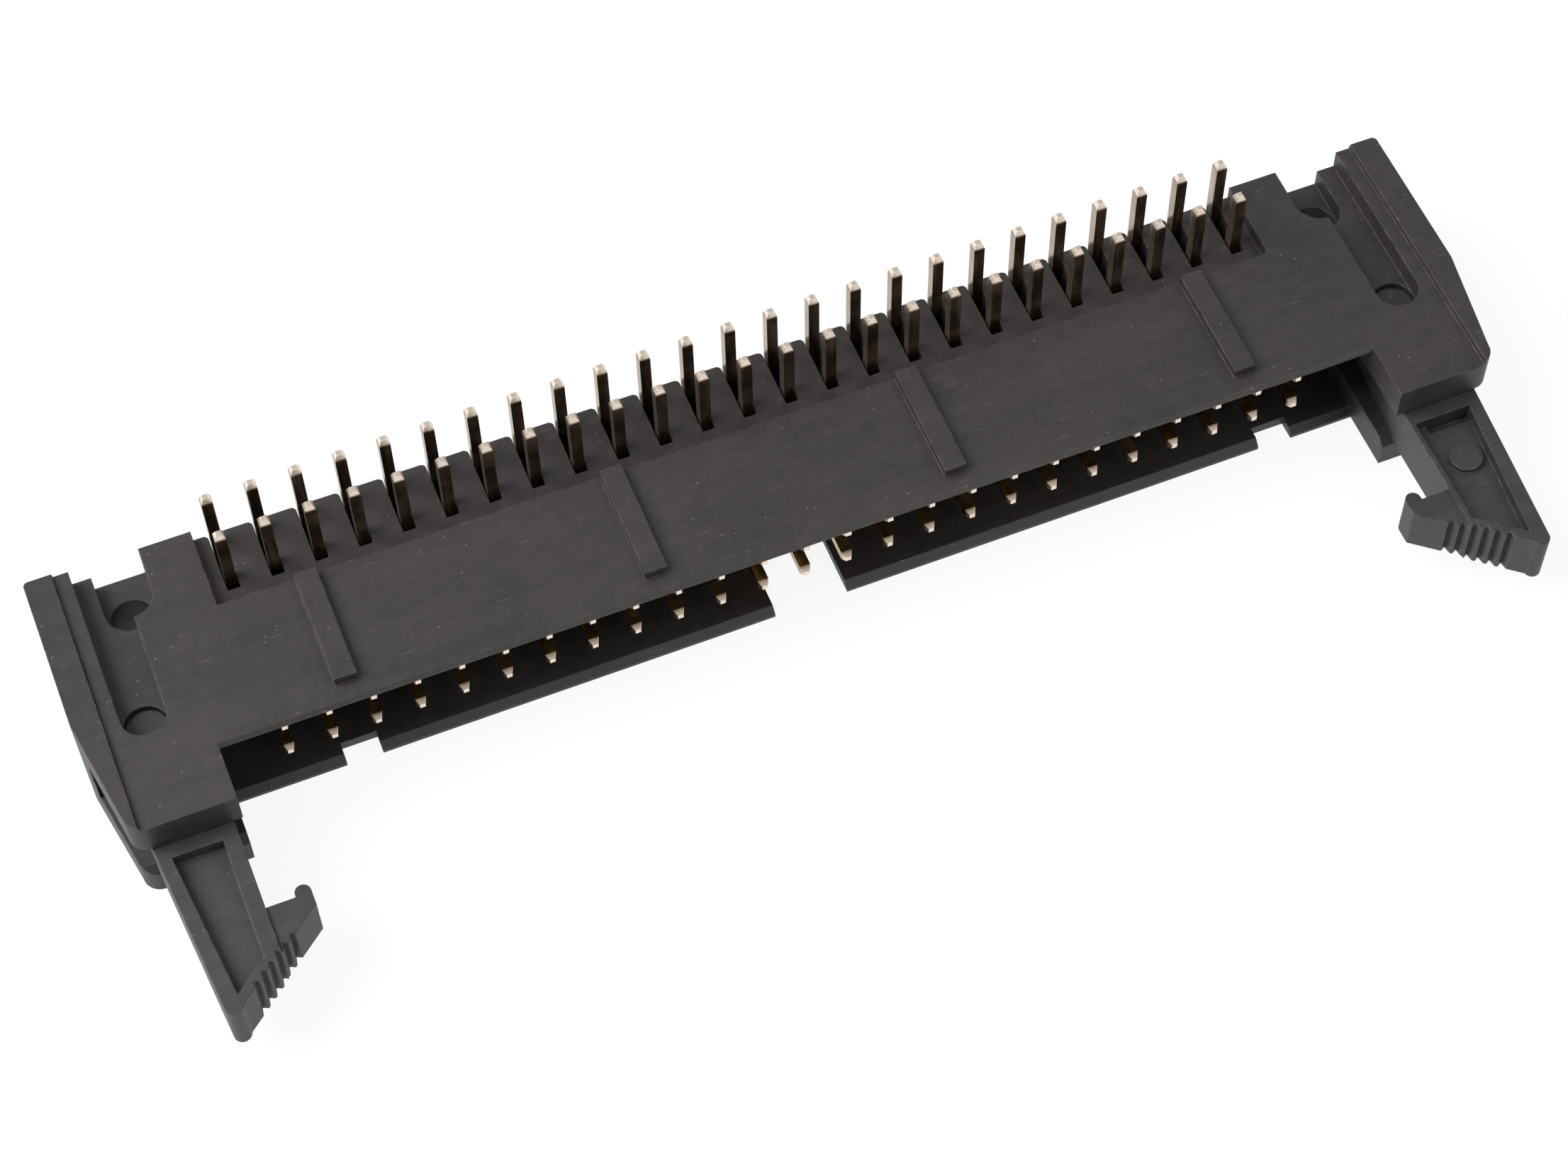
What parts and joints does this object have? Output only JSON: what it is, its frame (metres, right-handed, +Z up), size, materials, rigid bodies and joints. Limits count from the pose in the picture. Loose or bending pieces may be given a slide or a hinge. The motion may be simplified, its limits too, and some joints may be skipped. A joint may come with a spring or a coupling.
{
  "type": "idc box header",
  "caption": "Right-angle box header for ribbon cable, with a keyed shroud, bent square contacts and an ejector latch at each end.",
  "frame": {"origin": "middle of the length, at the front row of tails, on the flat outer face of the lower wall", "axes": "+X along the length, -Y out of the mouth towards the mating plug, +Z up along the tails towards the board"},
  "size_m": [0.0824, 0.0279, 0.0113],
  "materials": {
    "housing_plastic": "moulded, slightly glossy, dark grey",
    "latch_plastic": "moulded, slightly glossy, dark grey",
    "contact_metal": "gold-flashed posts, tinned tails with a bronze cast"
  },
  "bodies": {
    "header": {"housing": "housing_plastic", "contact_upper_01": "contact_metal", "contact_upper_02": "contact_metal", "contact_upper_03": "contact_metal", "contact_upper_04": "contact_metal", "contact_upper_05": "contact_metal", "contact_upper_06": "contact_metal", "contact_upper_07": "contact_metal", "contact_upper_08": "contact_metal", "contact_upper_09": "contact_metal", "contact_upper_10": "contact_metal", "contact_upper_11": "contact_metal", "contact_upper_12": "contact_metal", "contact_upper_13": "contact_metal", "contact_upper_14": "contact_metal", "contact_upper_15": "contact_metal", "contact_upper_16": "contact_metal", "contact_upper_17": "contact_metal", "contact_upper_18": "contact_metal", "contact_upper_19": "contact_metal", "contact_upper_20": "contact_metal", "contact_upper_21": "contact_metal", "contact_upper_22": "contact_metal", "contact_upper_23": "contact_metal", "contact_upper_24": "contact_metal", "contact_upper_25": "contact_metal", "contact_lower_01": "contact_metal", "contact_lower_02": "contact_metal", "contact_lower_03": "contact_metal", "contact_lower_04": "contact_metal", "contact_lower_05": "contact_metal", "contact_lower_06": "contact_metal", "contact_lower_07": "contact_metal", "contact_lower_08": "contact_metal", "contact_lower_09": "contact_metal", "contact_lower_10": "contact_metal", "contact_lower_11": "contact_metal", "contact_lower_12": "contact_metal", "contact_lower_13": "contact_metal", "contact_lower_14": "contact_metal", "contact_lower_15": "contact_metal", "contact_lower_16": "contact_metal", "contact_lower_17": "contact_metal", "contact_lower_18": "contact_metal", "contact_lower_19": "contact_metal", "contact_lower_20": "contact_metal", "contact_lower_21": "contact_metal", "contact_lower_22": "contact_metal", "contact_lower_23": "contact_metal", "contact_lower_24": "contact_metal", "contact_lower_25": "contact_metal"},
    "left_latch": {"latch_left": "latch_plastic"},
    "right_latch": {"latch_right": "latch_plastic"}
  },
  "joints": [
    {"name": "left_latch_hinge", "type": "hinge", "parent": "header", "child": "left_latch", "pos_m": [-0.0374, -0.0071, 0.00385], "axis": [0, 0, -1], "range_deg": [0, 32]},
    {"name": "right_latch_hinge", "type": "hinge", "parent": "header", "child": "right_latch", "pos_m": [0.0374, -0.0071, 0.00385], "axis": [0, 0, 1], "range_deg": [0, 32]}
  ]
}
